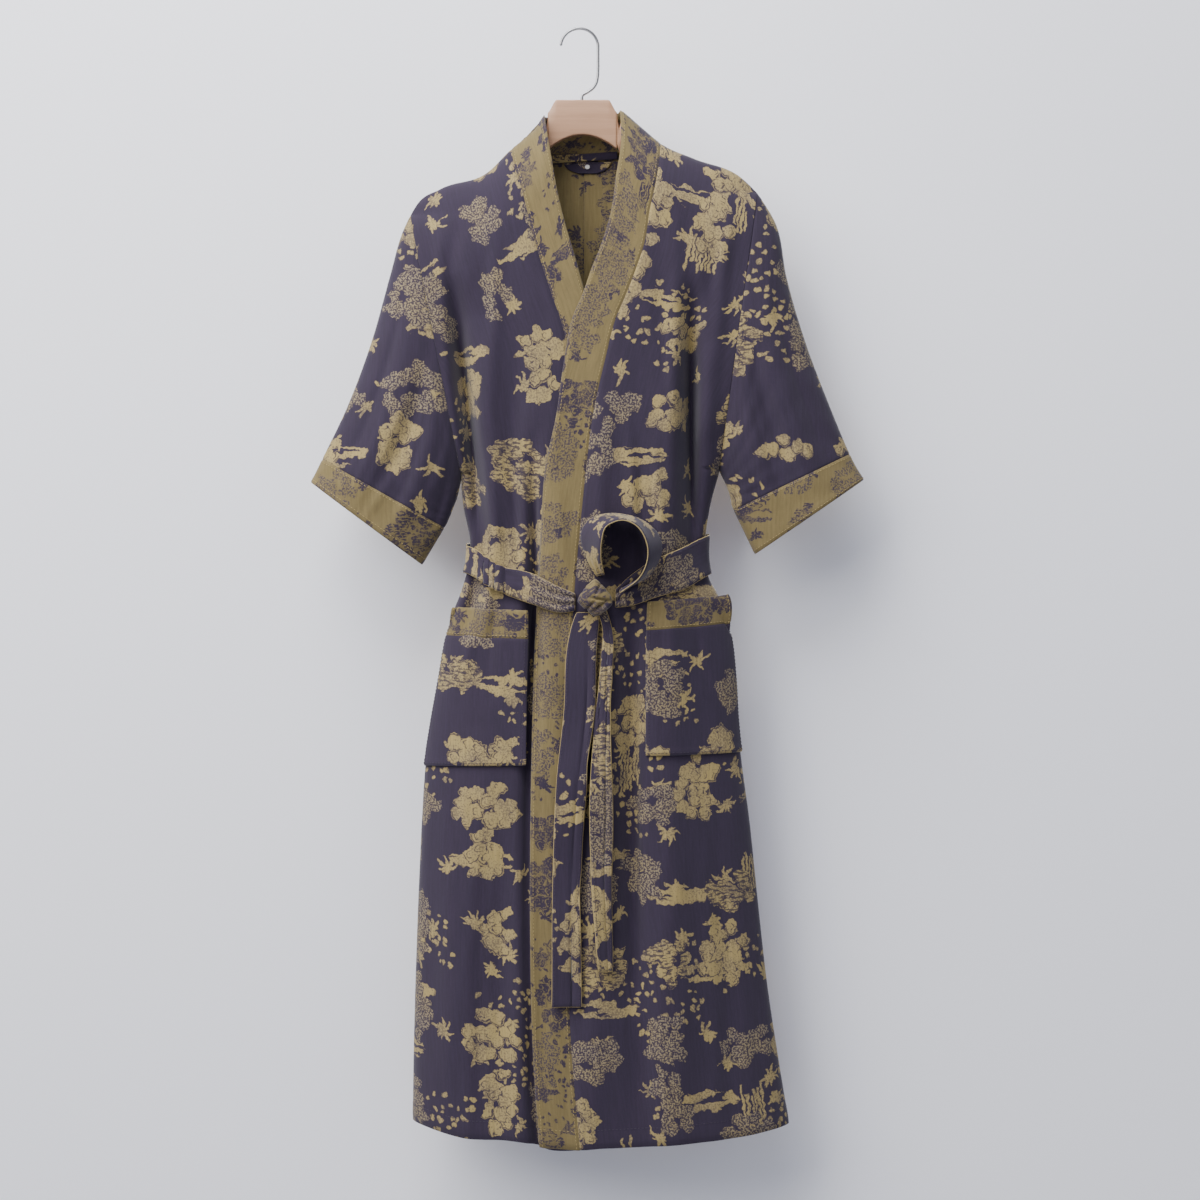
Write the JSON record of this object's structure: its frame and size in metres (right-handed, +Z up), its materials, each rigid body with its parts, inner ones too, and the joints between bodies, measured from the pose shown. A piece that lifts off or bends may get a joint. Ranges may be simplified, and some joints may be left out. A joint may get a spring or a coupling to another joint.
{
  "type": "belted kimono robe on a wooden hanger",
  "caption": "Belted kimono robe with wide sleeves, neck band and patch pockets, hanging open at the hem on a wooden hanger with a wire hook.",
  "frame": {"origin": "underside of the hanger's wire at the top of its hook, where a rail or peg carries it", "axes": "+Z up, the robe faces -Y, its wearer's left is at +X"},
  "size_m": [0.6356, 0.1283, 1.2817],
  "materials": {
    "dark_cloth": "matte slubby jacquard, dark ground with gold motifs",
    "gold_cloth": "the same jacquard turned to its gold face",
    "belt_cloth": "matte slubby jacquard, doubled",
    "button": "pearl",
    "hanger_wood": "plain pale wood, satin",
    "hook_steel": "plated steel wire"
  },
  "bodies": {
    "root": {"front_right": "dark_cloth", "front_left": "dark_cloth", "back_right": "dark_cloth", "back_left": "dark_cloth", "front_skirt_right": "dark_cloth", "front_skirt_left": "dark_cloth", "back_skirt_right": "dark_cloth", "back_skirt_left": "dark_cloth", "sleeve_right": "dark_cloth", "sleeve_left": "dark_cloth", "cuff_right": "gold_cloth", "cuff_left": "gold_cloth", "band_right": "gold_cloth", "band_left": "gold_cloth", "band_neck": "gold_cloth", "pocket_right": "dark_cloth", "pocket_left": "dark_cloth", "pocket_band_right": "gold_cloth", "pocket_band_left": "gold_cloth", "belt_front_right": "belt_cloth", "belt_front_left": "belt_cloth", "belt_back": "belt_cloth", "belt_knot": "belt_cloth", "belt_bow": "belt_cloth", "belt_tail_long": "belt_cloth", "belt_tail_short": "belt_cloth", "hang_loop": "belt_cloth", "neck_patch": "gold_cloth", "neck_button": "button", "hanger_wood": "hanger_wood", "hanger_hook": "hook_steel"}
  },
  "joints": []
}
